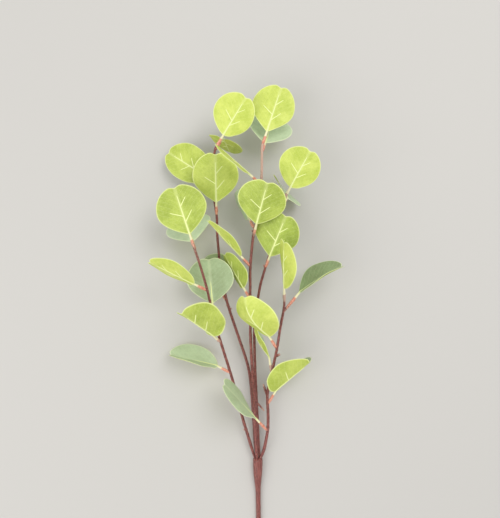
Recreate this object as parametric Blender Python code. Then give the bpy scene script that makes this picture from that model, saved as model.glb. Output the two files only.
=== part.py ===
"""An artificial eucalyptus branch lying on a table: a stem, five twigs and round notched leaves.

Metres, +Z up. The tips point to +Y, and the origin is the middle of the box on the table.
Every leaf slides with its sleeve on a peg of its twig, and every twig stands with its foot in
a socket of the stem's head.
"""
import math
from typing import NamedTuple

import bmesh
import bpy
from mathutils import Vector

MM = 0.001
MIDDLE_X, MIDDLE_Y = -4.4, -2.2    # the middle of the box in the drawing's own frame, taken off at the end
FIT = 0.3                      # play between a peg and its sleeve, and between a foot and its socket

# The blade's mould, flat and 50 mm each way; every leaf is this one, scaled and bent.
MOULD = 50.0
THICK = 0.8
MIDDLE = 0.52                  # how far up the blade its widest place is
NOTCH = 2.4                    # how deep the cut at the tip goes
TURNS = (0, 8, 20, 42, 66, 90, 114, 138, 160, 180)
RINGS = (0.55, 1.0)
MIDRIB_END = 0.80
# The side veins: how far up the blade, which side, the length and the angle from the midrib.
SIDE_VEINS = ((0.25, 1, 14.0, 43), (0.37, -1, 14.0, 60), (0.57, 1, 11.0, 43))
KINK_LENGTH = 4.0
SLEEVE = 8.0                   # the petiole's sleeve, down from the blade
BORE = 4.0
BORE_RADIUS = 1.0
PEG_RADIUS = BORE_RADIUS - FIT
COLLAR_RADIUS = 1.15

# The stem: its axis and its radius, from the cut end to the flared head.
STEM_SIDES = 8
STEM_FLAT = math.cos(math.pi / STEM_SIDES)
STEM_RADIUS = 2.75
STEM = (
    (10.6, -324.0, STEM_RADIUS * STEM_FLAT, STEM_RADIUS),
    (10.3, -210.0, STEM_RADIUS * STEM_FLAT, STEM_RADIUS),
    (9.8, -166.0, STEM_RADIUS * STEM_FLAT, STEM_RADIUS),
    (9.3, -133.0, 3.4, 2.9),
    (9.0, -120.0, 4.6, 4.0),
    (8.9, -108.0, 5.6, 5.2),
    (8.9, -95.0, 6.3, 5.6),
)
SOCKET_RING = 3.1
SOCKET_DEPTH = 9.0
FOOT_RADIUS = 1.15

# The twigs: where the foot stands in the head, the radii low and high, and the way up to the last node.
TWIGS = {
    "twig_far_left": (180, 1.75, 1.3, (
        (1.4, -79.0, 8.5), (-8.6, -45.0, 11), (-15.3, -19.4, 12), (-21.7, 5.0, 15), (-32.5, 42.7, 27),
        (-39.7, 69.6, 37), (-45.6, 99.3, 45), (-53.0, 126.5, 50), (-59.0, 145.0, 52))),
    "twig_left": (252, 1.75, 1.2, (
        (6.0, -78.0, 4.0), (3.0, -32.1, 6.5), (-0.1, 1.4, 8), (-5.1, 22.5, 10), (-13.0, 46.0, 12.5),
        (-24.4, 80.8, 14.5), (-29.2, 99.2, 14), (-33.0, 119.4, 14.5), (-35.3, 144.1, 17),
        (-36.7, 164.1, 20.5), (-36.9, 181.0, 24), (-40.0, 201.8, 26), (-42.5, 219.6, 28),
        (-42.0, 236.5, 33), (-38.7, 247.0, 43), (-37.0, 252.5, 48))),
    "twig_centre": (108, 1.75, 1.25, (
        (6.8, -77.6, 11.5), (5.2, -36.1, 15), (2.9, 2.8, 19), (0.7, 43.7, 24), (0.2, 77.5, 29),
        (0.2, 106.5, 35), (0.5, 128.5, 40), (3.5, 159.0, 46), (5.4, 167.5, 47.5), (9.7, 192.2, 50),
        (12.2, 216.8, 52), (12.6, 242.1, 54), (12.8, 253.5, 55))),
    "twig_right_inner": (324, 1.7, 1.2, (
        (9.6, -78.0, 4.4), (7.7, -32.0, 7.5), (5.9, 6.3, 10.5), (4.9, 43.0, 14), (5.3, 68.0, 18),
        (8.2, 86.1, 22), (11.7, 106.3, 27), (17.0, 125.2, 33), (22.0, 141.7, 36.5),
        (27.4, 160.3, 41), (32.4, 180.7, 48), (35.0, 196.0, 54))),
    "twig_right": (36, 1.8, 1.3, (
        (15.6, -82.8, 9.5), (19.9, -58.9, 13), (20.2, -36.7, 16), (19.5, -17.0, 20), (23.7, 6.2, 27),
        (29.3, 35.8, 35), (32.6, 58.4, 40), (35.9, 77.5, 45), (36.8, 87.4, 47))),
}


class Leaf(NamedTuple):
    """One leaf on its twig. Angles in degrees, lengths in mm; heading turns from +Y to +X."""
    twig: str
    node: float                # the node's place along Y
    heading: float
    pitch: float
    roll: float                # positive lowers the right side; about 180 shows the grey face
    length: float
    width: float
    curl: float = 0.0          # how far the tip bends toward the veined face
    fold: float = 8.0          # how far each half bends away from the veined face
    kink: float = 0.0          # how far the blade's start bends toward the veined face
    twist: float = 0.0         # how much more the tip is rolled than the start
    skew: float = 0.0          # how much wider the right half is than the left
    reach: float = 16.0        # from the node to the blade
    base: float = 1.12         # from a wedge at the blade's start, 1.0, to a round lobe, 2.6
    rests: bool = False        # pitched so its lowest point is on the table


LEAVES = (
    Leaf("twig_centre", 253.5, 18, -4, 0, 53, 47, skew=-0.08, base=1.0),
    Leaf("twig_centre", 247, 17, -40, 180, 47, 50),
    Leaf("twig_left", 252.5, 33, 12, 0, 48, 45, skew=-0.14, base=1.4),
    Leaf("twig_left", 250.5, 29, -20, 160, 36, 44, kink=82, skew=0.15),
    Leaf("twig_centre", 213, -50, 16, 84, 50, 41, skew=-0.15),
    Leaf("twig_left", 221.5, -57, -12, 0, 51, 42, skew=0.11, reach=11, base=2.5),
    Leaf("twig_left", 182, 0, 29, 0, 55, 51, kink=-14, skew=-0.02),
    Leaf("twig_far_left", 145, -18, 6, 0, 54, 55),
    Leaf("twig_far_left", 142.5, -20, -42, 180, 50, 53, curl=30, rests=True),
    Leaf("twig_right_inner", 196, 29, 18, 0, 45, 44.5, skew=-0.1, base=1.4),
    Leaf("twig_right_inner", 190, 32, -38, -156, 46, 47, kink=40, reach=13.5, rests=True),
    Leaf("twig_centre", 158, 15, 34, 0, 50, 52, kink=-8, skew=-0.04),
    Leaf("twig_centre", 166, -27, -33, 138, 43, 40, fold=-38),
    Leaf("twig_right_inner", 124, 20, 34, -4, 50, 50, kink=-22, skew=-0.1, base=1.0),
    Leaf("twig_right", 87.4, -2, 26, -77, 56, 44, fold=12, twist=14, reach=17.5, base=1.4),
    Leaf("twig_right", 77, 39, 5, 110, 58, 42, curl=18, fold=25, kink=16, reach=26),
    Leaf("twig_right", -29, 29, 13, 62, 58, 50, fold=34, kink=18, skew=-0.05, reach=18, base=2.6),
    Leaf("twig_centre", 126, -43, 15, -80, 54, 46, base=1.8),
    Leaf("twig_centre", 90, -30, -2, -64, 44, 36, fold=10, skew=0.2, reach=14, base=1.8),
    Leaf("twig_far_left", 70, -5, -17, 180, 51, 52, kink=-13),
    Leaf("twig_left", 86, -31, -24, 180, 43, 58, kink=-15),
    Leaf("twig_far_left", 100, -63, 10, -64, 55, 42, fold=12, base=1.8),
    Leaf("twig_far_left", 42, -42, 42, -53, 62, 45, fold=32, kink=5, twist=20, skew=0.32, reach=14.5,
         base=2.0),
    Leaf("twig_far_left", 6, -60, 10, 240, 58, 39, fold=28, kink=20, twist=15, base=1.4),
    Leaf("twig_right", -60, -38, 26, 265, 68, 40, fold=4, twist=-22, skew=0.1, reach=21, base=0.8),
    Leaf("twig_right", 36, -31, 24, -50, 62, 54, curl=-65, fold=14, kink=20, skew=0.12, reach=17.5, base=1.4),
    Leaf("twig_right", 8, -9, -3, -92, 44, 29, curl=-45, fold=20, kink=30, skew=0.05, reach=16.5),
)

# Bare spurs and buds: the twig, the place along Y, heading, pitch, length and radius.
SPURS = (
    ("twig_far_left", -60.0, -70, 20, 3.5, 0.9),
    ("twig_left", 80.5, -60, 10, 3.2, 0.8),
    ("twig_left", 77.5, 70, 10, 3.2, 0.8),
    ("twig_centre", -23.0, 139, 3, 17.5, 1.0),
    ("twig_centre", 163.0, -60, 10, 3.2, 0.8),
    ("twig_right_inner", 124.0, -30, 30, 5.0, 0.8),
    ("twig_right", 27.0, 60, 5, 6.0, 1.5),
    ("twig_right", -20.0, -18, 10, 15.5, 1.4),
)


def solid(name, mesh):
    """An object in the scene from a bmesh in millimetres, its faces turned outward."""
    if mesh.calc_volume(signed=True) < 0.0:
        bmesh.ops.reverse_faces(mesh, faces=mesh.faces)
    data = bpy.data.meshes.new(name)
    mesh.to_mesh(data)
    mesh.free()
    thing = bpy.data.objects.new(name, data)
    bpy.context.scene.collection.objects.link(thing)
    return thing


def combine(target, tool, operation):
    """Joins a tool to the target or cuts it out, and drops the tool."""
    step = target.modifiers.new("step", "BOOLEAN")
    step.object = tool
    step.operation = operation
    step.solver = "EXACT"
    depsgraph = bpy.context.evaluated_depsgraph_get()
    result = bpy.data.meshes.new_from_object(target.evaluated_get(depsgraph))
    target.modifiers.clear()
    target.data = result
    bpy.data.objects.remove(tool)


def rod(name, points, radii, sides=8, turn=0.0):
    """A closed round rod through the points, with a radius at each."""
    mesh = bmesh.new()
    rings = []
    side = Vector((1.0, 0.0, 0.0))
    for index, point in enumerate(points):
        ahead = points[min(index + 1, len(points) - 1)]
        behind = points[max(index - 1, 0)]
        along = (ahead - behind).normalized()
        if abs(side.dot(along)) > 0.95:
            side = Vector((0.0, 0.0, 1.0))
        side = (side - along * side.dot(along)).normalized()
        up = side.cross(along)
        ring = []
        for step in range(sides):
            angle = math.tau * (step + turn) / sides
            offset = side * math.cos(angle) + up * math.sin(angle)
            ring.append(mesh.verts.new(point + offset * radii[index]))
        rings.append(ring)
    for low, high in zip(rings, rings[1:]):
        for step in range(sides):
            after = (step + 1) % sides
            mesh.faces.new((low[step], low[after], high[after], high[step]))
    mesh.faces.new(rings[0][::-1])
    mesh.faces.new(rings[-1])
    bmesh.ops.recalc_face_normals(mesh, faces=mesh.faces)
    return solid(name, mesh)


def smooth_way(points):
    """The way through the points, with one more point half way along each rounded piece."""
    way = [points[0], points[1]]
    for index in range(1, len(points) - 1):
        before, start, end = points[index - 1], points[index], points[index + 1]
        after = points[min(index + 2, len(points) - 1)]
        way.append((start + end) * 0.5625 - (before + after) * 0.0625)
        way.append(end)
    return way


def head_frame():
    """The stem head's end, the way it faces and its two cross directions."""
    end = Vector(STEM[-1][:3])
    along = (end - Vector(STEM[-2][:3])).normalized()
    right = along.cross(Vector((0.0, 0.0, 1.0))).normalized()
    return end, along, right, right.cross(along)


def foot_ends(turn):
    """A foot's two ends, deep in its socket and just outside the head."""
    end, along, right, up = head_frame()
    angle = math.radians(turn)
    centre = end + (right * math.cos(angle) + up * math.sin(angle)) * SOCKET_RING
    return centre - along * SOCKET_DEPTH, centre + along * 1.5


def twig_way(name):
    """A twig's axis from its foot to its last node."""
    turn, _, _, points = TWIGS[name]
    return smooth_way([*foot_ends(turn), *(Vector(point) for point in points)])


WAYS = {name: twig_way(name) for name in TWIGS}


def node_on(twig, place):
    """The point of a twig's axis at this place along Y."""
    way = WAYS[twig]
    for low, high in zip(way, way[1:]):
        if low.y <= place <= high.y:
            return low.lerp(high, (place - low.y) / (high.y - low.y))
    return way[-1].copy()


def direction(heading, pitch):
    """The unit vector with this heading and pitch in degrees."""
    heading, pitch = math.radians(heading), math.radians(pitch)
    flat = math.cos(pitch)
    return Vector((math.sin(heading) * flat, math.cos(heading) * flat, math.sin(pitch)))


def leaf_frame(leaf):
    """Where a leaf's blade starts, with its right, forward and veined-face directions."""
    forward = direction(leaf.heading, leaf.pitch)
    heading = math.radians(leaf.heading)
    level = Vector((math.cos(heading), -math.sin(heading), 0.0))
    face = level.cross(forward)
    roll = math.radians(leaf.roll)
    right = level * math.cos(roll) - face * math.sin(roll)
    face = face * math.cos(roll) + level * math.sin(roll)
    return node_on(leaf.twig, leaf.node) + forward * leaf.reach, right, forward, face


def outline(turn, base):
    """The blade's edge at this turn from the notched tip, in degrees, with its base wedged or round."""
    angle = math.radians(abs(turn))
    across = MOULD / 2 * math.sin(angle)
    centre = MOULD * MIDDLE
    if angle <= math.pi / 2:
        along = centre + (MOULD - centre) * math.cos(angle)
        along -= NOTCH * math.exp(-((angle / 0.16) ** 2))
    else:
        rest = (math.pi - angle) / (math.pi / 2)
        along = centre * rest ** base
    return math.copysign(across, turn), along


def blade(base):
    """The flat blade, ringed round its middle so both faces bend alike."""
    mesh = bmesh.new()
    turns = [*TURNS, *(-turn for turn in reversed(TURNS[1:-1]))]
    centre = MOULD * MIDDLE
    faces = []
    for height in (THICK / 2, -THICK / 2):
        rings = [[mesh.verts.new((0.0, centre, height))]]
        for ring in RINGS:
            edge = [outline(turn, base) for turn in turns]
            rings.append([mesh.verts.new((x * ring, centre + (y - centre) * ring, height)) for x, y in edge])
        faces.append(rings)
    count = len(turns)
    for rings in faces:
        for step in range(count):
            after = (step + 1) % count
            mesh.faces.new((rings[0][0], rings[1][step], rings[1][after]))
            for low, high in zip(rings[1:], rings[2:]):
                mesh.faces.new((low[step], high[step], low[after]))
                mesh.faces.new((high[step], high[after], low[after]))
    for step in range(count):
        after = (step + 1) % count
        mesh.faces.new((faces[0][-1][step], faces[0][-1][after], faces[1][-1][after], faces[1][-1][step]))
    bmesh.ops.recalc_face_normals(mesh, faces=mesh.faces)
    return solid("mould", mesh)


def leaf_mould(base):
    """The flat leaf: blade, midrib with the sleeve it grows from, and the side veins."""
    mould = blade(base)
    end = MOULD * MIDRIB_END
    stops = ((-SLEEVE, 0.0, 1.7), (-BORE - 1.0, 0.0, 1.4), (0.5, 0.1, 1.15), (KINK_LENGTH, 0.2, 1.0),
             (end * 0.45, 0.3, 0.85), (end, 0.3, 0.45))
    rib = rod("rib", [Vector((0.0, y, z)) for y, z, _ in stops], [radius for *_, radius in stops], 6)
    combine(mould, rib, "UNION")
    for place, side, length, angle in SIDE_VEINS:
        start = Vector((0.0, MOULD * place, 0.3))
        angle = math.radians(angle)
        tip = start + Vector((side * math.sin(angle), math.cos(angle), 0.0)) * length
        vein = rod("vein", [start, tip], [0.6, 0.5], 4)
        combine(mould, vein, "UNION")
    bore_ends = [Vector((0.0, -SLEEVE - 1.0, 0.0)), Vector((0.0, -SLEEVE + BORE, 0.0))]
    combine(mould, rod("bore", bore_ends, [BORE_RADIUS] * 2, 8), "DIFFERENCE")
    mesh = bmesh.new()
    mesh.from_mesh(mould.data)
    bmesh.ops.triangulate(mesh, faces=mesh.faces, quad_method="SHORT_EDGE", ngon_method="BEAUTY")
    bpy.data.objects.remove(mould)
    return mesh


def spine(leaf, far):
    """Where the midrib has got to this far up the blade, forward and aside, and how it leans there."""
    forward = aside = 0.0
    pieces = 16
    for piece in range(pieces):
        middle = far * (piece + 0.5) / pieces
        turned = leaf.kink * min(1.0, middle / KINK_LENGTH) + leaf.curl * (middle / leaf.length) ** 2
        angle = math.radians(turned)
        forward += math.cos(angle) * far / pieces
        aside += math.sin(angle) * far / pieces
    turned = leaf.kink * min(1.0, far / KINK_LENGTH) + leaf.curl * (far / leaf.length) ** 2
    return forward, aside, math.radians(turned)


def bend(leaf, point):
    """Where a point of the flat mould comes to on this leaf, before it is placed."""
    x, y, z = point
    if y <= 0.0:
        return point.copy()
    ease = min(1.0, y / 6.0)
    x *= 1 + (leaf.width / MOULD * (1 + (leaf.skew if x > 0 else -leaf.skew)) - 1) * ease
    y *= leaf.length / MOULD
    half = leaf.width / 2
    share = y / leaf.length
    lean = math.radians(leaf.fold) * ease * (0.75 * math.tanh(x / 2.5) + 0.25 * x / half)
    wave = 0.9 * ease * (x / half) ** 2 * math.sin(share * 7.0 + math.copysign(1.1, x) + leaf.node)
    x, z = x * math.cos(lean) + z * math.sin(lean), z * math.cos(lean) - x * math.sin(lean) + wave
    twist = math.radians(leaf.twist) * share * share
    x, z = x * math.cos(twist) + z * math.sin(twist), z * math.cos(twist) - x * math.sin(twist)
    forward, aside, turned = spine(leaf, y)
    return Vector((x, forward - z * math.sin(turned), aside + z * math.cos(turned)))


def lowest(leaf, mould):
    """How high above the table a leaf's lowest point is."""
    base, right, forward, face = leaf_frame(leaf)
    bent = (bend(leaf, vertex.co) for vertex in mould.verts)
    return min(base.z + right.z * at.x + forward.z * at.y + face.z * at.z for at in bent)


def settled(leaf, mould):
    """The leaf, pitched until it touches the table if it is one that rests."""
    if not leaf.rests:
        return leaf
    low, high = leaf.pitch - 14, leaf.pitch + 14
    for _ in range(24):
        middle = (low + high) / 2
        if lowest(leaf._replace(pitch=middle), mould) < 0.0:
            low = middle
        else:
            high = middle
    return leaf._replace(pitch=high)


def build_leaf(name, leaf, mould):
    """One leaf, bent from the mould and placed on its peg."""
    base, right, forward, face = leaf_frame(leaf)
    mesh = mould.copy()
    for vertex in mesh.verts:
        at = bend(leaf, vertex.co)
        vertex.co = base + right * at.x + forward * at.y + face * at.z
    return solid(name, mesh)


def peg_stops(leaf):
    """A peg's points after its node, with their radii: the collar, then the pin in the sleeve."""
    start = node_on(leaf.twig, leaf.node)
    forward = direction(leaf.heading, leaf.pitch)
    shoulder = leaf.reach - SLEEVE - FIT
    tip = leaf.reach - SLEEVE + BORE - FIT
    stops = ((shoulder - 0.2, COLLAR_RADIUS), (shoulder, PEG_RADIUS), (tip, PEG_RADIUS))
    return start, [(start + forward * far, radius) for far, radius in stops]


def build_twig(name, leaves):
    """One twig with its foot, the pegs of its leaves and its spurs."""
    _, thick, thin, _ = TWIGS[name]
    way = WAYS[name]
    radii = [FOOT_RADIUS, FOOT_RADIUS, FOOT_RADIUS + 0.3]
    for index in range(3, len(way)):
        radii.append(thick + (thin - thick) * (index - 3) / (len(way) - 4))
    last = max(leaves, key=lambda leaf: leaf.node)
    _, stops = peg_stops(last)
    points = way + [point for point, _ in stops]
    radii += [radius for _, radius in stops]
    twig = rod(name, points, radii)
    for leaf in leaves:
        if leaf is last:
            continue
        start, stops = peg_stops(leaf)
        points = [start, *(point for point, _ in stops)]
        radii = [COLLAR_RADIUS, *(radius for _, radius in stops)]
        combine(twig, rod("peg", points, radii, 6), "UNION")
    for owner, place, heading, pitch, length, radius in SPURS:
        if owner != name:
            continue
        start = node_on(name, place)
        end = start + direction(heading, pitch) * length
        combine(twig, rod("spur", [start, end], [radius, radius * 0.7], 6), "UNION")
    return twig


def build_stem():
    """The stem with a flat side down, its flared head and the five sockets."""
    points = [Vector(stop[:3]) for stop in STEM]
    stem = rod("main_stem", points, [stop[3] for stop in STEM], STEM_SIDES, 0.5)
    for turn, *_ in TWIGS.values():
        deep, out = foot_ends(turn)
        along = (out - deep).normalized()
        ends = [deep - along * FIT, out + along * 2.0]
        combine(stem, rod("socket", ends, [FOOT_RADIUS + FIT] * 2, 8), "DIFFERENCE")
    return stem


def finish(thing):
    """Triangles only, welded, centred, and metres in place of millimetres."""
    mesh = bmesh.new()
    mesh.from_mesh(thing.data)
    bmesh.ops.remove_doubles(mesh, verts=mesh.verts, dist=0.01)
    bmesh.ops.dissolve_degenerate(mesh, edges=mesh.edges, dist=0.005)
    bmesh.ops.triangulate(mesh, faces=mesh.faces)
    bmesh.ops.translate(mesh, verts=mesh.verts, vec=(-MIDDLE_X, -MIDDLE_Y, 0.0))
    bmesh.ops.scale(mesh, verts=mesh.verts, vec=(MM, MM, MM))
    mesh.to_mesh(thing.data)
    mesh.free()


def build():
    """The whole branch."""
    for thing in list(bpy.data.objects):
        bpy.data.objects.remove(thing)
    moulds = {base: leaf_mould(base) for base in sorted({leaf.base for leaf in LEAVES})}
    leaves = [settled(leaf, moulds[leaf.base]) for leaf in LEAVES]
    things = [build_stem()]
    for name in TWIGS:
        things.append(build_twig(name, [leaf for leaf in leaves if leaf.twig == name]))
    for number, leaf in enumerate(leaves, 1):
        things.append(build_leaf(f"leaf_{number:02d}", leaf, moulds[leaf.base]))
    for mould in moulds.values():
        mould.free()
    for thing in things:
        finish(thing)


build()
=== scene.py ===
"""The looks of an artificial eucalyptus branch: printed leaves with moulded ribs, and bark over wire.

Every leaf is made by one node tree from its own few numbers, and every twig by another from the
line it follows. The lines and numbers are in millimetres in the drawing's own frame.
"""
import math
from typing import NamedTuple

import bpy
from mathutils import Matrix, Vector


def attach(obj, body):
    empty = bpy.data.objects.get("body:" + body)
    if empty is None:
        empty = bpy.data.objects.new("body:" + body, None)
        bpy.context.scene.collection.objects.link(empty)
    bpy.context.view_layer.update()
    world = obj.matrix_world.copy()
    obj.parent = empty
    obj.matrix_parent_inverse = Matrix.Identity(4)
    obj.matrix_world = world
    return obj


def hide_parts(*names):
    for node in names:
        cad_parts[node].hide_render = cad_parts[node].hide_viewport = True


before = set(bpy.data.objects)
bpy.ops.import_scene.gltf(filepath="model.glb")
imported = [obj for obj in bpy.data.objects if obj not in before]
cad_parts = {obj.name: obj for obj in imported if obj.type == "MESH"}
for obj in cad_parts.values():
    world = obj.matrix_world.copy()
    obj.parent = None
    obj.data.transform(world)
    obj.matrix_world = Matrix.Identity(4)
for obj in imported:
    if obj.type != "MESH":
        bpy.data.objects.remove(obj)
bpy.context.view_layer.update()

MM = 0.001
MIDDLE = Vector((-4.4, -2.2, 0.0))     # the middle of the box in the drawing's own frame

# The blade and what is moulded on it, on a flat leaf 50 mm each way.
MOULD = 50.0
THICK = 0.8
WIDEST = 0.52                          # how far up the blade its widest place is
NOTCH = 2.4                            # how deep the cut at the tip goes
NOTCH_WIDTH = 0.16                     # and how wide, as a turn round the blade
MIDRIB_END = 0.80
# The side veins: how far up the blade, which side, the length and the angle from the midrib.
SIDE_VEINS = ((0.25, 1, 14.0, 43), (0.37, -1, 14.0, 60), (0.57, 1, 11.0, 43))
FAN_ANGLE = math.radians(43)           # how the fine printed veins leave the midrib
TIP_BUNCH = 0.3                        # how much closer the columns of faces stand at the notched tip
RIM_BUNCH = 1.7                        # how much closer the rows of faces stand at the rim
RIM_ROUND = 22.0                       # how tightly the rim is rounded
KINK_LENGTH = 4.0
EASE = 6.0                             # how far up the blade its width and its fold set in
CREASE = 2.5                           # how far from the midrib most of the fold is done
CREASE_SHARE = 0.75
WAVE = 0.9                             # how far the rim waves up and down
WAVE_TURNS = 7.0                       # how fast it waves up the blade, in radians
WAVE_APART = 1.1                       # how far the two halves' waves are apart
SLEEVE = 8.0                           # the petiole's sleeve, down from the blade
ALL_CREAM = 5.0                        # how much further the cream goes on a sleeve that is all cream
# The collar: how far along it, its radius and how coral it is.
COLLAR = ((0.0, 1.2, 0.2), (0.35, 1.4, 0.7), (0.75, 1.65, 0.95), (1.12, 1.5, 1.0))
COLLAR_PALE = 0.3

# The main stem: its axis and its radius, from the cut end to the head that the twigs stand in.
STEM = (
    (10.6, -324.0, 2.55, 2.6), (10.3, -210.0, 2.55, 2.55), (9.8, -166.0, 2.6, 2.6),
    (9.3, -133.0, 3.4, 2.85), (9.0, -120.0, 4.6, 3.9), (8.9, -108.0, 5.6, 5.1), (8.9, -95.0, 6.3, 5.5),
)
HEAD_END = ((8.9, -93.6, 6.4, 4.9), (8.9, -92.5, 6.5, 3.4), (8.9, -92.0, 6.5, 1.4))   # its rounded top
FOOT_RING = 3.1
FOOT_RADIUS = 1.15
FOOT_DEPTH = 4.0
FOOT_OUT = 1.5                         # how far a foot's thin end stands out of the head

# The bark's nubs: how many on a square metre, a nub's radius, and the least and the most it is scaled.
NUBS = 45000.0
STEM_NUBS = 15000.0
NUB_RADIUS = 0.45
NUB_LEAST, NUB_MOST = (0.4, 0.4, 0.3), (1.8, 1.5, 0.9)
LUMP, GRAIN = 0.34, 0.13               # how far the bark's lumps and its fine grain rise and sink
STEM_SEED = 9

# The camera looks straight down on the branch as the photograph frames it.
PICTURE_WIDTH = 500.0
FOCAL_PIXELS = 600.0
SENSOR_WIDTH = 36.0
CAMERA_PLACE = (4.4, 136.2, 690.0)
# The floor and the lamps, in metres: each lamp's name, place, width and power.
FLOOR_HALF = 3.0
LAMPS = (("key light", (0.6, 0.8, 1.5), 0.9, 10.0), ("fill light", (-1.0, -0.4, 1.2), 1.4, 9.0))
LAMPS_TOWARD = (0.0, 0.12, 0.0)
ROOM_LIGHT = 0.70

# The twigs: where the foot stands in the head, the radii low and high, and the way to the last node.
TWIGS = {
    "twig_far_left": (180, 1.75, 1.3, (
        (1.4, -79.0, 8.5), (-8.6, -45.0, 11), (-15.3, -19.4, 12), (-21.7, 5.0, 15), (-32.5, 42.7, 27),
        (-39.7, 69.6, 37), (-45.6, 99.3, 45), (-53.0, 126.5, 50), (-59.0, 145.0, 52))),
    "twig_left": (252, 1.75, 1.2, (
        (6.0, -78.0, 4.0), (3.0, -32.1, 6.5), (-0.1, 1.4, 8), (-5.1, 22.5, 10), (-13.0, 46.0, 12.5),
        (-24.4, 80.8, 14.5), (-29.2, 99.2, 14), (-33.0, 119.4, 14.5), (-35.3, 144.1, 17),
        (-36.7, 164.1, 20.5), (-36.9, 181.0, 24), (-40.0, 201.8, 26), (-42.5, 219.6, 28),
        (-42.0, 236.5, 33), (-38.7, 247.0, 43), (-37.0, 252.5, 48))),
    "twig_centre": (108, 1.75, 1.25, (
        (6.8, -77.6, 11.5), (5.2, -36.1, 15), (2.9, 2.8, 19), (0.7, 43.7, 24), (0.2, 77.5, 29),
        (0.2, 106.5, 35), (0.5, 128.5, 40), (3.5, 159.0, 46), (5.4, 167.5, 47.5), (9.7, 192.2, 50),
        (12.2, 216.8, 52), (12.6, 242.1, 54), (12.8, 253.5, 55))),
    "twig_right_inner": (324, 1.7, 1.2, (
        (9.6, -78.0, 4.4), (7.7, -32.0, 7.5), (5.9, 6.3, 10.5), (4.9, 43.0, 14), (5.3, 68.0, 18),
        (8.2, 86.1, 22), (11.7, 106.3, 27), (17.0, 125.2, 33), (22.0, 141.7, 36.5),
        (27.4, 160.3, 41), (32.4, 180.7, 48), (35.0, 196.0, 54))),
    "twig_right": (36, 1.8, 1.3, (
        (15.6, -82.8, 9.5), (19.9, -58.9, 13), (20.2, -36.7, 16), (19.5, -17.0, 20), (23.7, 6.2, 27),
        (29.3, 35.8, 35), (32.6, 58.4, 40), (35.9, 77.5, 45), (36.8, 87.4, 47))),
}

# How pale and pinkish each twig turns toward its top.
TOP_PALE = {"twig_far_left": 0.35, "twig_left": 0.15, "twig_centre": 1.0, "twig_right_inner": 0.6,
            "twig_right": 0.3}


class Leaf(NamedTuple):
    """One leaf on its twig. Angles in degrees, lengths in mm; heading turns from +Y to +X."""
    twig: str
    node: float                # the node's place along Y
    heading: float
    pitch: float
    roll: float                # positive lowers the right side; about 180 shows the grey face
    length: float
    width: float
    curl: float = 0.0          # how far the tip bends toward the veined face
    fold: float = 8.0          # how far each half bends away from the veined face
    kink: float = 0.0          # how far the blade's start bends toward the veined face
    twist: float = 0.0         # how much more the tip is rolled than the start
    skew: float = 0.0          # how much wider the right half is than the left
    reach: float = 16.0        # from the node to the blade
    base: float = 1.12         # from a wedge at the blade's start, 1.0, to a round lobe, 2.6
    # This number is partly the print's own depth of green and partly painted light and shade: each leaf
    # is made lighter or deeper for how the lamps light it.
    tone: float = 0.3          # from yellow lime to a deeper green
    cream: float = 0.0         # how much further down the sleeve its cream part goes


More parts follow.
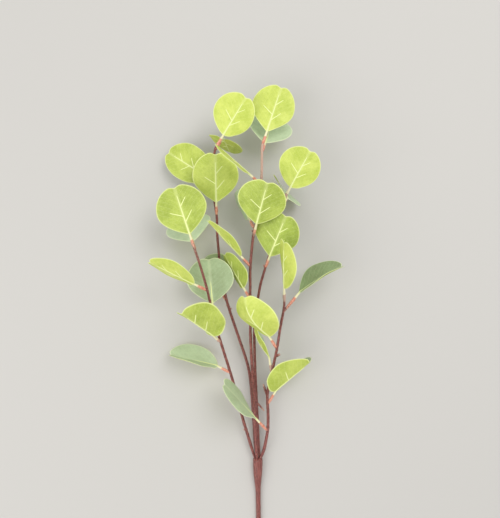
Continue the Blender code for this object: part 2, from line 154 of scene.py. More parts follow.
LEAVES = (
    Leaf("twig_centre", 253.5, 18, -4, 0, 53, 47, skew=-0.08, base=1.0, tone=0.2, cream=1.0),
    Leaf("twig_centre", 247, 17, -40, 180, 47, 50, tone=0.3),
    Leaf("twig_left", 252.5, 33, 12, 0, 48, 45, skew=-0.14, base=1.4, tone=0.1),
    Leaf("twig_left", 250.5, 29, -20, 160, 36, 44, kink=82, skew=0.15, tone=0.15),
    Leaf("twig_centre", 213, -50, 16, 84, 50, 41, skew=-0.15, tone=0.3),
    Leaf("twig_left", 221.5, -57, -12, 0, 51, 42, skew=0.11, reach=11, base=2.5, tone=0.45),
    Leaf("twig_left", 182, 0, 29, 0, 55, 51, kink=-14, skew=-0.02, tone=0.3),
    Leaf("twig_far_left", 145, -18, 6, 0, 54, 55, tone=0.75, cream=2.0),
    Leaf("twig_far_left", 142.5, -20, -46.95, 180, 50, 53, curl=30, tone=0.0),
    Leaf("twig_right_inner", 196, 29, 18, 0, 45, 44.5, skew=-0.1, base=1.4, tone=0.2, cream=4.0),
    Leaf("twig_right_inner", 190, 32, -36.7, -156, 46, 47, kink=40, reach=13.5, tone=0.1),
    Leaf("twig_centre", 158, 15, 34, 0, 50, 52, kink=-8, skew=-0.04, tone=0.8, cream=2.0),
    Leaf("twig_centre", 166, -27, -33, 138, 43, 40, fold=-38, tone=0.3),
    Leaf("twig_right_inner", 124, 20, 34, -4, 50, 50, kink=-22, skew=-0.1, base=1.0, tone=0.95),
    Leaf("twig_right", 87.4, -2, 26, -77, 56, 44, fold=12, twist=14, reach=17.5, base=1.4, tone=0.0,
         cream=ALL_CREAM),
    Leaf("twig_right", 77, 39, 5, 110, 58, 42, curl=18, fold=25, kink=16, reach=26, tone=0.95,
         cream=1.5),
    Leaf("twig_right", -29, 29, 13, 62, 58, 50, fold=34, kink=18, skew=-0.05, reach=18, base=2.6,
         tone=0.45),
    Leaf("twig_centre", 126, -43, 15, -80, 54, 46, base=1.8, tone=0.0),
    Leaf("twig_centre", 90, -30, -2, -64, 44, 36, fold=10, skew=0.2, reach=14, base=1.8, tone=0.8),
    Leaf("twig_far_left", 70, -5, -17, 180, 51, 52, kink=-13, tone=0.6),
    Leaf("twig_left", 86, -31, -24, 180, 43, 58, kink=-15, tone=0.85),
    Leaf("twig_far_left", 100, -63, 10, -64, 55, 42, fold=12, base=1.8, tone=0.0),
    Leaf("twig_far_left", 42, -42, 42, -53, 62, 45, fold=32, kink=5, twist=20, skew=0.32, reach=14.5,
         base=2.0, tone=0.6, cream=2.5),
    Leaf("twig_far_left", 6, -60, 10, 240, 58, 39, fold=28, kink=20, twist=15, base=1.4, tone=0.35),
    Leaf("twig_right", -60, -38, 26, 265, 68, 40, fold=4, twist=-22, skew=0.1, reach=21, base=0.8,
         tone=0.4),
    Leaf("twig_right", 36, -31, 24, -50, 62, 54, curl=-65, fold=14, kink=20, skew=0.12, reach=17.5,
         base=1.4, tone=0.1),
    Leaf("twig_right", 8, -9, -3, -92, 44, 29, curl=-45, fold=20, kink=30, skew=0.05, reach=16.5,
         tone=0.35, cream=ALL_CREAM),
)

# Bare spurs and buds: the twig, the place along Y, heading, pitch, length and radius.
SPURS = (
    ("twig_far_left", -60.0, -70, 20, 3.5, 0.9),
    ("twig_left", 80.5, -60, 10, 3.2, 0.8),
    ("twig_left", 77.5, 70, 10, 3.2, 0.8),
    ("twig_centre", -23.0, 139, 3, 17.5, 1.0),
    ("twig_centre", 163.0, -60, 10, 3.2, 0.8),
    ("twig_right_inner", 124.0, -30, 30, 5.0, 0.8),
    ("twig_right", 27.0, 60, 5, 6.0, 1.5),
    ("twig_right", -20.0, -18, 10, 15.5, 1.4),
)


def shade(red, green, blue):
    """A colour given as it looks on a screen, in the numbers that a shader takes."""
    return (*((part / 12.92 if part <= 0.04045 else ((part + 0.055) / 1.055) ** 2.4)
              for part in (red, green, blue)), 1.0)


LIME = shade(0.88, 0.92, 0.45)
LIME_DEEP = shade(0.75, 0.82, 0.30)
# GREEN, GREEN_DEEP, SAGE and SAGE_DEEP are where each leaf's own number takes its faces: partly its
# print's deeper green, partly painted shade.
GREEN = shade(0.69, 0.77, 0.31)
GREEN_DEEP = shade(0.55, 0.63, 0.22)
LIME_RIM = shade(0.95, 0.98, 0.66)
GREY = shade(0.88, 0.95, 0.80)
GREY_DEEP = shade(0.79, 0.87, 0.70)
SAGE = shade(0.55, 0.64, 0.43)
SAGE_DEEP = shade(0.48, 0.54, 0.35)
GREY_RIM = shade(0.92, 0.95, 0.80)
RIB = shade(0.95, 0.98, 0.68)
CREAM = shade(0.95, 0.92, 0.76)
CORAL = shade(0.85, 0.48, 0.38)
CORAL_PALE = shade(0.95, 0.72, 0.62)
BARK = shade(0.53, 0.27, 0.24)
# The darker bark colour is partly the bark's own uneven colour and partly painted shade, the colour of
# a twig's shaded side.
BARK_DARK_AND_SHADE = shade(0.34, 0.15, 0.14)
# The pale pink bark colour is partly the bark's own speckle and partly a painted highlight.
BARK_PINK_FLECK_AND_HIGHLIGHT = shade(0.80, 0.55, 0.50)
BARK_TAN = shade(0.84, 0.70, 0.63)
FLOOR = shade(0.80, 0.79, 0.77)


class Field:
    """A number that a node tree works out, so that its sums can be written as sums."""

    def __init__(self, tree, socket):
        self.tree = tree
        self.socket = socket

    def math(self, operation, *others):
        """The result of one Math node on this number and the others."""
        node = self.tree.nodes.new("ShaderNodeMath")
        node.operation = operation
        for socket, value in zip(node.inputs, (self, *others)):
            put(self.tree, socket, value)
        return Field(self.tree, node.outputs[0])

    def __add__(self, other):
        return self.math("ADD", other)

    def __sub__(self, other):
        return self.math("SUBTRACT", other)

    def __mul__(self, other):
        return self.math("MULTIPLY", other)

    def __truediv__(self, other):
        return self.math("DIVIDE", other)

    def __pow__(self, other):
        return self.math("POWER", other)

    def less_from(self, total):
        """The total less this number."""
        return (self * -1.0) + total

    def between(self, low, high):
        """The number, held between low and high."""
        return self.math("MAXIMUM", low).math("MINIMUM", high)

    def ramp(self, low, high):
        """0 below low, 1 above high and a smooth rise between."""
        node = self.tree.nodes.new("ShaderNodeMapRange")
        node.interpolation_type = "SMOOTHSTEP"
        put(self.tree, node.inputs["Value"], self)
        put(self.tree, node.inputs["From Min"], low)
        put(self.tree, node.inputs["From Max"], high)
        return Field(self.tree, node.outputs[0])


def put(tree, socket, value):
    """Sets a socket, or joins it to what another node gives."""
    if isinstance(value, Field):
        value = value.socket
    if isinstance(value, bpy.types.NodeSocket):
        tree.links.new(value, socket)
    else:
        socket.default_value = value


def add(tree, kind, values=None, **settings):
    """A node with its settings, and its named inputs set or joined."""
    node = tree.nodes.new(kind)
    for name, value in settings.items():
        setattr(node, name, value)
    for name, value in (values or {}).items():
        put(tree, node.inputs[name], value)
    return node


def group_inputs(tree, sockets):
    """Gives the tree its inputs and returns what each one gives."""
    for name, (kind, value) in sockets.items():
        socket = tree.interface.new_socket(name, in_out="INPUT", socket_type=kind)
        if value is not None:
            socket.default_value = value
    node = tree.nodes.new("NodeGroupInput")
    return {name: Field(tree, node.outputs[name]) for name in sockets}


def group_outputs(tree, values, kinds):
    """Gives the tree its outputs."""
    for name in values:
        tree.interface.new_socket(name, in_out="OUTPUT", socket_type=kinds[name])
    node = tree.nodes.new("NodeGroupOutput")
    for name, value in values.items():
        put(tree, node.inputs[name], value)


def vector(tree, x=0.0, y=0.0, z=0.0):
    """The vector with these three parts."""
    return Field(tree, add(tree, "ShaderNodeCombineXYZ", {"X": x, "Y": y, "Z": z}).outputs[0])


def parts(tree, value):
    """The three parts of a vector."""
    node = add(tree, "ShaderNodeSeparateXYZ", {"Vector": value})
    return [Field(tree, socket) for socket in node.outputs]


def mix(tree, share, low, high):
    """The colour between low and high at this share."""
    node = tree.nodes.new("ShaderNodeMix")
    node.data_type = "RGBA"
    for index, value in ((0, share), (6, low), (7, high)):
        put(tree, node.inputs[index], value)
    return Field(tree, node.outputs[2])


def noise(tree, place, scale, detail=3.0, rough=0.55):
    """Cloudy noise at this place, about 0 to 1."""
    values = {"Vector": place, "Scale": scale, "Detail": detail, "Roughness": rough}
    return Field(tree, add(tree, "ShaderNodeTexNoise", values).outputs[0])


def outline(turn, base):
    """The blade's edge at this turn from the notched tip, with its base wedged or round."""
    size = turn.math("ABSOLUTE")
    across = turn.math("SINE") * (MOULD / 2)
    centre = MOULD * WIDEST
    upper = size.math("COSINE") * (MOULD - centre) + centre
    cut = ((size / NOTCH_WIDTH) ** 2.0 * -1.0).math("EXPONENT") * NOTCH
    rest = (size.less_from(math.pi) / (math.pi / 2)).between(0.0, 1.0)
    lower = (rest ** base) * centre
    above = size.math("LESS_THAN", math.pi / 2)
    return across, above * (upper - cut) + above.less_from(1.0) * lower


def blade(tree, base, turns=88, rows=31):
    """The closed flat blade as a grid wrapped round it, from the middle of one face to the other's."""
    grid = add(tree, "GeometryNodeMeshGrid", {
        "Size X": 2.0, "Size Y": 2.0, "Vertices X": turns + 1, "Vertices Y": rows})
    place = Field(tree, tree.nodes.new("GeometryNodeInputPosition").outputs[0])
    column, row, _ = parts(tree, place)
    turn = column * (column.math("ABSOLUTE") ** TIP_BUNCH) * math.pi
    ring = (row.math("ABSOLUTE") ** RIM_BUNCH).less_from(1.0).between(0.0, 1.0)
    x, y = outline(turn, base)
    centre = MOULD * WIDEST
    round_off = ((ring ** RIM_ROUND).less_from(1.0).between(0.0, 1.0)) ** 0.5
    height = round_off * row.math("SIGN") * (THICK / 2)
    kept = add(tree, "GeometryNodeStoreNamedAttribute", {
        "Geometry": grid.outputs["Mesh"], "Name": "rim", "Value": ring},
        data_type="FLOAT", domain="POINT")
    flat = vector(tree, x * ring, (y - centre) * ring + centre, height)
    moved = add(tree, "GeometryNodeSetPosition", {"Geometry": kept.outputs[0], "Position": flat})
    closed = add(tree, "GeometryNodeMergeByDistance", {"Geometry": moved.outputs[0], "Distance": 0.004})
    return closed.outputs[0]


def rib(tree, start, end, stops, count, sides):
    """A tapered rib between two points of the flat leaf, with its radius at each stop along it."""
    line = add(tree, "GeometryNodeCurvePrimitiveLine", {"Start": start, "End": end})
    fine = add(tree, "GeometryNodeResampleCurve", {"Curve": line.outputs[0], "Count": count})
    share = Field(tree, add(tree, "GeometryNodeSplineParameter").outputs["Factor"])
    radius = None
    for (low, first), (high, last) in zip(stops, stops[1:]):
        step = (share - low) / (high - low)
        rise = step.between(0.0, 1.0) * (last - first)
        radius = rise + first if radius is None else radius + rise
    circle = add(tree, "GeometryNodeCurvePrimitiveCircle", {"Resolution": sides, "Radius": 1.0})
    swept = add(tree, "GeometryNodeCurveToMesh", {
        "Curve": fine.outputs[0], "Profile Curve": circle.outputs[0], "Scale": radius,
        "Fill Caps": True})
    return swept.outputs[0]


def ribs(tree):
    """The midrib with the sleeve it grows from, and the side veins."""
    end = MOULD * MIDRIB_END
    whole = SLEEVE + end
    stops = [(-SLEEVE, 1.3), (-SLEEVE + 0.5, 1.6), (-5.0, 1.4), (0.5, 1.12), (4.0, 0.95),
             (end * 0.45, 0.75), (end * 0.97, 0.42), (end, 0.15)]
    stops = [((place + SLEEVE) / whole, radius) for place, radius in stops]
    made = [rib(tree, (0.0, -SLEEVE, 0.0), (0.0, end, 0.36), stops, 64, 12)]
    for place, side, length, angle in SIDE_VEINS:
        start = Vector((0.0, MOULD * place, 0.22))
        angle = math.radians(angle)
        tip = start + Vector((side * math.sin(angle), math.cos(angle), 0.0)) * length
        stops = [(0.0, 0.62), (0.85, 0.48), (0.97, 0.38), (1.0, 0.15)]
        made.append(rib(tree, start, tip, stops, 20, 8))
    join = tree.nodes.new("GeometryNodeJoinGeometry")
    for socket in reversed(made):
        tree.links.new(socket, join.inputs[0])
    return join.outputs[0]


def spine(tree, value, far):
    """Where the midrib has got to this far up the blade, forward and aside, and how it leans there."""
    steps = 16
    start = tree.nodes.new("GeometryNodeRepeatInput")
    end = tree.nodes.new("GeometryNodeRepeatOutput")
    start.pair_with_output(end)
    end.repeat_items.clear()
    for name in ("Forward", "Aside"):
        end.repeat_items.new("FLOAT", name)
    start.inputs["Iterations"].default_value = steps
    step = Field(tree, start.outputs["Iteration"])

    def lean(place):
        kinked = (place / KINK_LENGTH).between(0.0, 1.0) * value["Kink"]
        return ((place / value["Length"]) ** 2.0 * value["Curl"] + kinked).math("RADIANS")

    angle = lean(far * (step + 0.5) / float(steps))
    for name, part in (("Forward", "COSINE"), ("Aside", "SINE")):
        so_far = Field(tree, start.outputs[name])
        put(tree, end.inputs[name], so_far + angle.math(part) * far / float(steps))
    return Field(tree, end.outputs["Forward"]), Field(tree, end.outputs["Aside"]), lean(far)


def bend(tree, value, place):
    """The flat leaf's points, bent and set in their place on the branch."""
    x, y, z = parts(tree, place)
    below = y.math("MINIMUM", 0.0)
    above = y.math("MAXIMUM", 0.0) * (value["Length"] / MOULD)
    ease = (y / EASE).between(0.0, 1.0)
    side = x.math("SIGN")
    wider = (side * value["Skew"] + 1.0) * value["Width"] / MOULD
    x = x * ((wider - 1.0) * ease + 1.0)
    half = value["Width"] / 2.0
    share = above / value["Length"]
    crease = (x / CREASE).math("TANH") * CREASE_SHARE + x / half * (1.0 - CREASE_SHARE)
    lean = (value["Fold"] * ease * crease).math("RADIANS")
    ripple = (share * WAVE_TURNS + side * WAVE_APART + value["Ripple"]).math("SINE")
    wave = ease * ((x / half) ** 2.0) * ripple * WAVE
    x, z = (x * lean.math("COSINE") + z * lean.math("SINE"),
            z * lean.math("COSINE") - x * lean.math("SINE") + wave)
    twist = (share * share * value["Twist"]).math("RADIANS")
    x, z = (x * twist.math("COSINE") + z * twist.math("SINE"),
            z * twist.math("COSINE") - x * twist.math("SINE"))
    forward, aside, turned = spine(tree, value, above)
    y = below + forward - z * turned.math("SINE")
    z = aside + z * turned.math("COSINE")
    total = value["Start"].socket
    for length, name in ((x, "Right"), (y, "Forward"), (z, "Face")):
        step = add(tree, "ShaderNodeVectorMath", operation="SCALE")
        put(tree, step.inputs[0], value[name])
        put(tree, step.inputs["Scale"], length)
        adding = add(tree, "ShaderNodeVectorMath", operation="ADD")
        put(tree, adding.inputs[0], total)
        put(tree, adding.inputs[1], step.outputs[0])
        total = adding.outputs[0]
    metres = add(tree, "ShaderNodeVectorMath", operation="SCALE")
    put(tree, metres.inputs[0], total)
    metres.inputs["Scale"].default_value = MM
    return metres.outputs[0]


def leaf_tree(lime, grey, moulded):
    """The node tree of a leaf: a printed blade with moulded ribs, bent and placed."""
    tree = bpy.data.node_groups.new("Leaf", "GeometryNodeTree")
    number = {"Length": 50.0, "Width": 50.0, "Curl": 0.0, "Fold": 8.0, "Kink": 0.0, "Twist": 0.0,
              "Skew": 0.0, "Base roundness": 1.12, "Ripple": 0.0, "Tone": 0.3, "Cream": 0.0}
    sockets = {name: ("NodeSocketFloat", start) for name, start in number.items()}
    sockets.update({name: ("NodeSocketVector", None) for name in ("Start", "Right", "Forward", "Face")})
    value = group_inputs(tree, sockets)
    pieces = []
    for mesh, part in ((blade(tree, value["Base roundness"]), 0.0), (ribs(tree), 1.0)):
        kept = add(tree, "GeometryNodeStoreNamedAttribute", {
            "Geometry": mesh, "Name": "moulded", "Value": part}, data_type="FLOAT", domain="FACE")
        pieces.append(kept.outputs[0])
    join = tree.nodes.new("GeometryNodeJoinGeometry")
    for socket in reversed(pieces):
        tree.links.new(socket, join.inputs[0])
    place = tree.nodes.new("GeometryNodeInputPosition").outputs[0]
    x, y, z = parts(tree, place)
    is_moulded = named(tree, "moulded")
    kept = add(tree, "GeometryNodeStoreNamedAttribute", {
        "Geometry": join.outputs[0], "Name": "back", "Value": z.math("LESS_THAN", 0.0)},
        data_type="FLOAT", domain="FACE")
    kept = add(tree, "GeometryNodeStoreNamedAttribute", {
        "Geometry": kept.outputs[0], "Name": "flat", "Value": vector(tree, x, y, value["Ripple"])},
        data_type="FLOAT_VECTOR", domain="POINT")
    for name in ("Tone", "Cream"):
        kept = add(tree, "GeometryNodeStoreNamedAttribute", {
            "Geometry": kept.outputs[0], "Name": name.lower(), "Value": value[name]},
            data_type="FLOAT", domain="POINT")
    bent = add(tree, "GeometryNodeSetPosition", {
        "Geometry": kept.outputs[0], "Position": bend(tree, value, place)})
    smooth = add(tree, "GeometryNodeSetShadeSmooth", {
        "Geometry": bent.outputs[0], "Shade Smooth": True})
    real = add(tree, "GeometryNodeRealizeInstances", {"Geometry": smooth.outputs[0]})
    done = add(tree, "GeometryNodeSetMaterial", {"Geometry": real.outputs[0], "Material": lime})
    is_back = named(tree, "back")
    done = add(tree, "GeometryNodeSetMaterial", {
        "Geometry": done.outputs[0], "Selection": is_back.math("GREATER_THAN", 0.5),
        "Material": grey})
    done = add(tree, "GeometryNodeSetMaterial", {
        "Geometry": done.outputs[0], "Selection": is_moulded.math("GREATER_THAN", 0.5),
        "Material": moulded})
    group_outputs(tree, {"Geometry": done.outputs[0]}, {"Geometry": "NodeSocketGeometry"})
    return tree


def named(tree, name, kind="FLOAT"):
    """What a named attribute gives in a geometry tree."""
    node = add(tree, "GeometryNodeInputNamedAttribute", {"Name": name}, data_type=kind)
    return Field(tree, node.outputs["Attribute"])


def bark_tree(bark):
    """The node tree of a twig: bark swept along its lines, roughened, with small nubs on it."""
    tree = bpy.data.node_groups.new("Bark", "GeometryNodeTree")
    sockets = {"Lines": ("NodeSocketGeometry", None), "Step": ("NodeSocketFloat", 0.7 * MM),
               "Sides": ("NodeSocketInt", 12), "Lump": ("NodeSocketFloat", LUMP * MM),
               "Grain": ("NodeSocketFloat", GRAIN * MM), "Nubs": ("NodeSocketFloat", NUBS),
               "Nub radius": ("NodeSocketFloat", NUB_RADIUS * MM), "Seed": ("NodeSocketInt", 1)}
    value = group_inputs(tree, sockets)
    curve = add(tree, "GeometryNodeMeshToCurve", {"Mesh": value["Lines"]})
    smooth = add(tree, "GeometryNodeCurveSplineType", {"Curve": curve.outputs[0]},
                 spline_type="CATMULL_ROM")
    fine = add(tree, "GeometryNodeResampleCurve", {"Curve": smooth.outputs[0], "Length": value["Step"]},
               mode="LENGTH")
    circle = add(tree, "GeometryNodeCurvePrimitiveCircle", {
        "Resolution": value["Sides"], "Radius": 1.0})
    swept = add(tree, "GeometryNodeCurveToMesh", {
        "Curve": fine.outputs[0], "Profile Curve": circle.outputs[0], "Scale": named(tree, "thick"),
        "Fill Caps": True})
    spots = add(tree, "GeometryNodeDistributePointsOnFaces", {
        "Mesh": swept.outputs[0], "Density": value["Nubs"], "Seed": value["Seed"]})
    ball = add(tree, "GeometryNodeMeshIcoSphere", {"Radius": value["Nub radius"], "Subdivisions": 2})
    size = add(tree, "FunctionNodeRandomValue", {"Seed": value["Seed"]}, data_type="FLOAT_VECTOR")
    size.inputs[0].default_value = NUB_LEAST
    size.inputs[1].default_value = NUB_MOST
    nubs = add(tree, "GeometryNodeInstanceOnPoints", {
        "Points": spots.outputs["Points"], "Instance": ball.outputs[0],
        "Rotation": spots.outputs["Rotation"], "Scale": size.outputs[0]})
    join = tree.nodes.new("GeometryNodeJoinGeometry")
    for socket in (add(tree, "GeometryNodeRealizeInstances", {"Geometry": nubs.outputs[0]}).outputs[0],
                   swept.outputs[0]):
        tree.links.new(socket, join.inputs[0])
    place = tree.nodes.new("GeometryNodeInputPosition").outputs[0]
    normal = tree.nodes.new("GeometryNodeInputNormal").outputs[0]
    rise = (noise(tree, place, 330.0, 2.0) - 0.5) * value["Lump"] * 2.0
    rise = rise + (noise(tree, place, 1300.0, 2.0) - 0.5) * value["Grain"] * 2.0
    push = add(tree, "ShaderNodeVectorMath", operation="SCALE")
    put(tree, push.inputs[0], normal)
    put(tree, push.inputs["Scale"], rise)
    rough = add(tree, "GeometryNodeSetPosition", {
        "Geometry": join.outputs[0], "Offset": push.outputs[0]})
    x, y, z = parts(tree, place)
    rough = add(tree, "GeometryNodeSetPosition", {
        "Geometry": rough.outputs[0], "Position": vector(tree, x, y, z.math("MAXIMUM", 0.0))})
    soft = add(tree, "GeometryNodeSetShadeSmooth", {"Geometry": rough.outputs[0], "Shade Smooth": True})
    real = add(tree, "GeometryNodeRealizeInstances", {"Geometry": soft.outputs[0]})
    done = add(tree, "GeometryNodeSetMaterial", {"Geometry": real.outputs[0], "Material": bark})
    group_outputs(tree, {"Geometry": done.outputs[0]}, {"Geometry": "NodeSocketGeometry"})
    return tree


def attribute(tree, name, output="Fac"):
    """What a named attribute gives in a material."""
    return Field(tree, add(tree, "ShaderNodeAttribute", attribute_name=name).outputs[output])


def place_group(tree, group, values):
    """A shader node group in a material, with its own values."""
    node = tree.nodes.new("ShaderNodeGroup")
    node.node_tree = group
    for name, value in values.items():
        put(tree, node.inputs[name], value)
    return node


def mottle_group():
    """Soft watery patches between two colours, as printed on cloth."""
    tree = bpy.data.node_groups.new("Watery patches", "ShaderNodeTree")
    value = group_inputs(tree, {
        "Place": ("NodeSocketVector", None), "Light": ("NodeSocketColor", (1, 1, 1, 1)),
        "Deep": ("NodeSocketColor", (0, 0, 0, 1)), "Patch scale": ("NodeSocketFloat", 0.06),
        "Fleck scale": ("NodeSocketFloat", 0.35)})
    patches = noise(tree, value["Place"], value["Patch scale"], 4.0, 0.6).ramp(0.32, 0.68)
    flecks = noise(tree, value["Place"], value["Fleck scale"], 3.0, 0.6).ramp(0.30, 0.75)
    share = (patches * 0.7 + flecks * 0.3).between(0.0, 1.0)
    colour = mix(tree, share, value["Light"], value["Deep"])
    group_outputs(tree, {"Color": colour, "Patches": share},
                  {"Color": "NodeSocketColor", "Patches": "NodeSocketFloat"})
    return tree


def vein_group():
    """The printed fine veins of a leaf: a fan of lines off the midrib and a net between them."""
    tree = bpy.data.node_groups.new("Fine veins", "ShaderNodeTree")
    value = group_inputs(tree, {
        "Place": ("NodeSocketVector", None), "Spacing": ("NodeSocketFloat", 5.2),
        "Net scale": ("NodeSocketFloat", 0.45)})
    x, y, _ = parts(tree, value["Place"])
    drift = (noise(tree, value["Place"], 0.09, 2.0) - 0.5) * 5.0
    across = x.math("ABSOLUTE")
    rise = y - across / math.tan(FAN_ANGLE) + across * across * 0.012 + drift
    beside = (rise / value["Spacing"] + x.math("SIGN") * 0.25).math("FRACT")
    line = (beside - 0.5).math("ABSOLUTE").ramp(0.10, 0.0)
    net = add(tree, "ShaderNodeTexVoronoi", {"Vector": value["Place"], "Scale": value["Net scale"]},
              feature="DISTANCE_TO_EDGE")
    threads = Field(tree, net.outputs["Distance"]).ramp(0.10, 0.0)
    group_outputs(tree, {"Lines": line, "Net": threads},
                  {"Lines": "NodeSocketFloat", "Net": "NodeSocketFloat"})
    return tree


def weave_group():
    """The height of a fine cloth weave."""
    tree = bpy.data.node_groups.new("Cloth weave", "ShaderNodeTree")
    value = group_inputs(tree, {
        "Place": ("NodeSocketVector", None), "Threads": ("NodeSocketFloat", 2.6)})
    x, y, _ = parts(tree, value["Place"])
    turn = value["Threads"] * math.tau
    height = (x * turn).math("SINE") * (y * turn).math("SINE")
    group_outputs(tree, {"Height": height}, {"Height": "NodeSocketFloat"})
    return tree


def surface(tree, colour, rough, height, depth, specular=0.4):
    """The shader that a material ends in, bumped by this height."""
    bump = add(tree, "ShaderNodeBump", {"Height": height, "Distance": depth, "Strength": 1.0})
    shader = add(tree, "ShaderNodeBsdfPrincipled", {
        "Base Color": colour, "Roughness": rough, "Normal": bump.outputs[0],
        "Specular IOR Level": specular})
    output = add(tree, "ShaderNodeOutputMaterial")
    tree.links.new(shader.outputs[0], output.inputs["Surface"])
    return shader


def new_material(name):
    """An empty material and its node tree."""
    made = bpy.data.materials.new(name)
    made.use_nodes = True
    made.node_tree.nodes.clear()
    return made, made.node_tree


def leaf_print(name, light, deep, other_light, other_deep, rim, vein, groups, rough):
    """One printed face of a leaf: watery patches, fine veins and a pale rim."""
    made, tree = new_material(name)
    place = attribute(tree, "flat", "Vector")
    # Each leaf's own number mixes its face toward the deeper colours: partly its print, partly painted
    # light and shade for that leaf.
    tone = attribute(tree, "tone")
    values = {"Place": place, "Light": mix(tree, tone, light, other_light),
              "Deep": mix(tree, tone, deep, other_deep)}
    patches = place_group(tree, groups["mottle"], values)
    veins = place_group(tree, groups["veins"], {"Place": place})
    lines, net = Field(tree, veins.outputs["Lines"]), Field(tree, veins.outputs["Net"])
    colour = mix(tree, lines * 0.14 + net * 0.13, patches.outputs["Color"], vein)
    x, _, _ = parts(tree, place)
    beside = x.math("ABSOLUTE").ramp(2.6, 0.6) * 0.25
    colour = mix(tree, beside, colour, vein)
    edge = attribute(tree, "rim").ramp(0.945, 0.985) * 0.8
    colour = mix(tree, edge, colour, rim)
    weave = place_group(tree, groups["weave"], {"Place": place})
    height = lines * 0.5 + net * 0.2 + Field(tree, weave.outputs["Height"]) * 0.12
    surface(tree, colour, Field(tree, patches.outputs["Patches"]) * 0.12 + rough, height, 0.10 * MM)
    return made


def moulded_rib(groups):
    """The soft plastic of the ribs, the sleeve and its coral end."""
    made, tree = new_material("moulded rib and sleeve")
    place = attribute(tree, "flat", "Vector")
    _, y, _ = parts(tree, place)
    worn = (noise(tree, place, 0.5, 3.0) - 0.5) * 2.6
    coral = place_group(tree, groups["mottle"], {
        "Place": place, "Light": CORAL_PALE, "Deep": CORAL, "Patch scale": 0.4, "Fleck scale": 1.2})
    colour = mix(tree, (y + worn).ramp(-2.5, 3.0), CREAM, RIB)
    end = (y + worn + attribute(tree, "cream")).ramp(-3.4, -5.0)
    colour = mix(tree, end, colour, coral.outputs["Color"])
    grain = noise(tree, place, 1.4, 3.0)
    surface(tree, colour, 0.45, grain, 0.12 * MM)
    return made


def bark_material():
    """Rough reddish bark with painted shade in its hollows and pale pinkish flecks that are partly
    painted highlights, coral at the collars.
    """
    made, tree = new_material("red brown bark")
    place = Field(tree, add(tree, "ShaderNodeTexCoord").outputs["Object"])
    lumps = noise(tree, place, 420.0, 4.0, 0.65)
    flecks = noise(tree, place, 1500.0, 3.0, 0.6)
    # Darker where the lumps sink: the bark's uneven colour and painted shade in its hollows.
    colour = mix(tree, lumps.ramp(0.35, 0.62), BARK_DARK_AND_SHADE, BARK)
    # Pale pinkish flecks on the raised grain: partly speckle, partly painted highlights.
    colour = mix(tree, flecks.ramp(0.53, 0.62) * 0.85, colour, BARK_PINK_FLECK_AND_HIGHLIGHT)
    pale = attribute(tree, "pale") + (lumps - 0.5) * 0.8
    colour = mix(tree, pale.ramp(0.15, 0.75) * 0.85, colour, BARK_TAN)
    share = (attribute(tree, "coral") + (lumps - 0.5) * 0.9).ramp(0.42, 0.66)
    warm = mix(tree, (flecks * 0.5 + lumps * 0.5).ramp(0.42, 0.60), CORAL, CORAL_PALE)
    colour = mix(tree, share, colour, warm)
    surface(tree, colour, 0.42, lumps * 0.7 + flecks * 0.5, 0.35 * MM, 0.5)
    return made


def smooth_way(points):
    """The way through the points, with one more point half way along each rounded piece."""
    way = [points[0], points[1]]
    for index in range(1, len(points) - 1):
        before, start, end = points[index - 1], points[index], points[index + 1]
        after = points[min(index + 2, len(points) - 1)]
        way.append((start + end) * 0.5625 - (before + after) * 0.0625)
        way.append(end)
    return way


def foot_ends(turn):
    """A foot's two ends, in its socket and just outside the head."""
    end = Vector(STEM[-1][:3])
    along = (end - Vector(STEM[-2][:3])).normalized()
    right = along.cross(Vector((0.0, 0.0, 1.0))).normalized()
    up = right.cross(along)
    angle = math.radians(turn)
    centre = end + (right * math.cos(angle) + up * math.sin(angle)) * FOOT_RING
    return centre - along * FOOT_DEPTH, centre + along * FOOT_OUT


def twig_way(name):
    """A twig's axis from its foot to its last node."""
    turn, _, _, points = TWIGS[name]
    return smooth_way([*foot_ends(turn), *(Vector(point) for point in points)])


WAYS = {name: twig_way(name) for name in TWIGS}


def node_on(twig, place):
    """The point of a twig's axis at this place along Y."""
    way = WAYS[twig]
    for low, high in zip(way, way[1:]):
        if low.y <= place <= high.y:
            return low.lerp(high, (place - low.y) / (high.y - low.y))
    return way[-1].copy()


def direction(heading, pitch):
    """The unit vector with this heading and pitch in degrees."""
    heading, pitch = math.radians(heading), math.radians(pitch)
    flat = math.cos(pitch)
    return Vector((math.sin(heading) * flat, math.cos(heading) * flat, math.sin(pitch)))


def leaf_frame(leaf):
    """Where a leaf's blade starts, with its right, forward and veined-face directions."""
    forward = direction(leaf.heading, leaf.pitch)
    heading = math.radians(leaf.heading)
    level = Vector((math.cos(heading), -math.sin(heading), 0.0))
    face = level.cross(forward)
    roll = math.radians(leaf.roll)
    right = level * math.cos(roll) - face * math.sin(roll)
    face = face * math.cos(roll) + level * math.sin(roll)
    return node_on(leaf.twig, leaf.node) + forward * leaf.reach, right, forward, face


def wires(name, lines):
    """A mesh of lines in metres, each a list of point, radius in mm, how coral and how pale."""
    points, edges, thick, coral, pale = [], [], [], [], []
    for line in lines:
        first = len(points)
        for point, radius, warm, light in line:
            points.append((point - MIDDLE) * MM)
            thick.append(radius * MM)
            coral.append(warm)
            pale.append(light)
        edges += [(index, index + 1) for index in range(first, len(points) - 1)]
    mesh = bpy.data.meshes.new(name)
    mesh.from_pydata(points, edges, [])
    for label, values in (("thick", thick), ("coral", coral), ("pale", pale)):
        mesh.attributes.new(label, "FLOAT", "POINT").data.foreach_set("value", values)
    return mesh


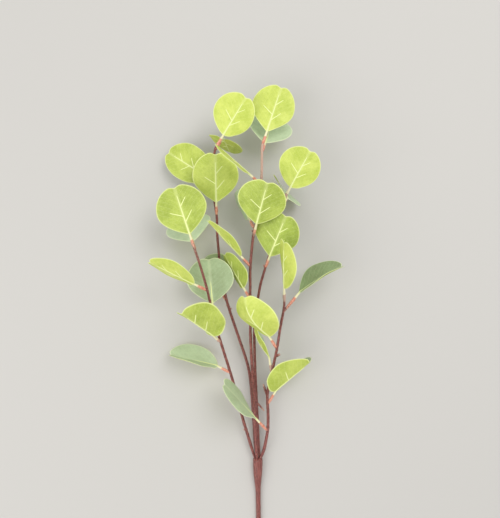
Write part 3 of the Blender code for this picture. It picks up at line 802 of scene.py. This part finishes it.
def grow(name, mesh, tree, values):
    """The plain mesh object that a tree makes of a mesh, with these values in its inputs."""
    thing = bpy.data.objects.new(name, mesh)
    bpy.context.scene.collection.objects.link(thing)
    modifier = thing.modifiers.new("shape", "NODES")
    modifier.node_group = tree
    for item in tree.interface.items_tree:
        if item.item_type == "SOCKET" and item.in_out == "INPUT" and item.name in values:
            modifier[item.identifier] = values[item.name]
    depsgraph = bpy.context.evaluated_depsgraph_get()
    made = bpy.data.meshes.new_from_object(thing.evaluated_get(depsgraph))
    thing.modifiers.clear()
    thing.data = made
    return thing


def keep(thing, node):
    """Makes a piece ride with the branch in place of its plain solid."""
    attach(thing, "root")
    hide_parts(node)


def collar(leaf):
    """The line from a leaf's node to its sleeve, coral toward the sleeve or pale if that is cream."""
    start = node_on(leaf.twig, leaf.node)
    forward = direction(leaf.heading, leaf.pitch)
    end = leaf.reach - SLEEVE
    cream = leaf.cream / ALL_CREAM
    line = []
    for far, radius, coral in COLLAR:
        pale = COLLAR_PALE + cream * far
        line.append((start + forward * end * far, radius, coral * (1.0 - cream), pale))
    return line


def build_leaves(tree):
    """All the leaves, each from the one tree."""
    for number, leaf in enumerate(LEAVES, 1):
        start, right, forward, face = leaf_frame(leaf)
        values = {"Length": leaf.length, "Width": leaf.width, "Curl": leaf.curl, "Fold": leaf.fold,
                  "Kink": leaf.kink, "Twist": leaf.twist, "Skew": leaf.skew,
                  "Base roundness": leaf.base,
                  "Ripple": leaf.node, "Tone": leaf.tone, "Cream": leaf.cream, "Start": start - MIDDLE,
                  "Right": right, "Forward": forward, "Face": face}
        values = {name: float(value) if isinstance(value, (int, float)) else tuple(value)
                  for name, value in values.items()}
        name = f"leaf_{number:02d}"
        thing = grow(f"eucalyptus_{name}", bpy.data.meshes.new(name), tree, values)
        keep(thing, name)


def build_twigs(tree):
    """The five twigs with their collars and spurs."""
    for seed, (name, (_, thick, thin, _)) in enumerate(TWIGS.items(), 1):
        way = WAYS[name]
        leaves = [leaf for leaf in LEAVES if leaf.twig == name]
        last = max(leaves, key=lambda leaf: leaf.node)
        feet = zip(way, (FOOT_RADIUS, FOOT_RADIUS, FOOT_RADIUS + 0.3))
        line = [(point, radius, 0.0, 0.0) for point, radius in feet]
        for index in range(3, len(way)):
            share = (index - 3) / (len(way) - 4)
            line.append((way[index], thick + (thin - thick) * share, 0.0, TOP_PALE[name] * share ** 3))
        lines = [line + collar(last)[1:]]
        lines += [collar(leaf) for leaf in leaves if leaf is not last]
        for owner, place, heading, pitch, length, radius in SPURS:
            if owner == name:
                start = node_on(name, place)
                end = start + direction(heading, pitch) * length
                middle = start.lerp(end, 0.7)
                lines.append([(start, radius, 0.1, 0.1), (middle, radius * 0.95, 0.2, 0.3),
                              (end, radius * 0.7, 0.45, 0.8)])
        thing = grow(f"bark_{name}", wires(name, lines), tree, {"Seed": seed})
        keep(thing, name)


def build_stem(tree):
    """The main stem and its head."""
    line = [(Vector(stop[:3]), stop[3], 0.0, 0.0) for stop in (*STEM, *HEAD_END)]
    thing = grow("bark_main_stem", wires("main_stem", [line]), tree,
                 {"Seed": STEM_SEED, "Sides": 20, "Step": 1.0 * MM, "Nubs": STEM_NUBS})
    keep(thing, "main_stem")


def build_stage():
    """The pale floor, soft light and the camera that looks straight down."""
    mesh = bpy.data.meshes.new("floor")
    corners = [(x * FLOOR_HALF, y * FLOOR_HALF, 0.0) for x, y in ((-1, -1), (1, -1), (1, 1), (-1, 1))]
    mesh.from_pydata(corners, [], [(0, 1, 2, 3)])
    floor = bpy.data.objects.new("floor", mesh)
    bpy.context.scene.collection.objects.link(floor)
    made, tree = new_material("pale floor")
    surface(tree, FLOOR, 0.7, 0.0, 0.0)
    mesh.materials.append(made)
    bpy.context.scene.view_settings.view_transform = "Standard"
    world = bpy.data.worlds.new("soft room")
    bpy.context.scene.world = world
    world.use_nodes = True
    background = world.node_tree.nodes["Background"]
    background.inputs["Color"].default_value = (1.0, 1.0, 1.0, 1.0)
    background.inputs["Strength"].default_value = ROOM_LIGHT
    for name, place, size, power in LAMPS:
        lamp = bpy.data.lights.new(name, "AREA")
        lamp.size = size
        lamp.energy = power
        thing = bpy.data.objects.new(name, lamp)
        thing.location = place
        toward = Vector(LAMPS_TOWARD) - Vector(place)
        thing.rotation_euler = toward.to_track_quat("-Z", "Y").to_euler()
        bpy.context.scene.collection.objects.link(thing)
    camera = bpy.data.cameras.new("camera")
    camera.sensor_fit = "HORIZONTAL"
    camera.sensor_width = SENSOR_WIDTH
    camera.lens = SENSOR_WIDTH * FOCAL_PIXELS / PICTURE_WIDTH
    camera.clip_start = 0.01
    view = bpy.data.objects.new("camera", camera)
    view.location = Vector(CAMERA_PLACE) * MM
    bpy.context.scene.collection.objects.link(view)
    bpy.context.scene.camera = view


build_stage()
group = {"mottle": mottle_group(), "veins": vein_group(), "weave": weave_group()}
lime_face = leaf_print("lime leaf print", LIME, LIME_DEEP, GREEN, GREEN_DEEP, LIME_RIM, RIB, group,
                       0.42)
grey_face = leaf_print("grey green leaf print", GREY, GREY_DEEP, SAGE, SAGE_DEEP, GREY_RIM, GREY_RIM,
                       group, 0.5)
build_leaves(leaf_tree(lime_face, grey_face, moulded_rib(group)))
bark = bark_tree(bark_material())
build_twigs(bark)
build_stem(bark)
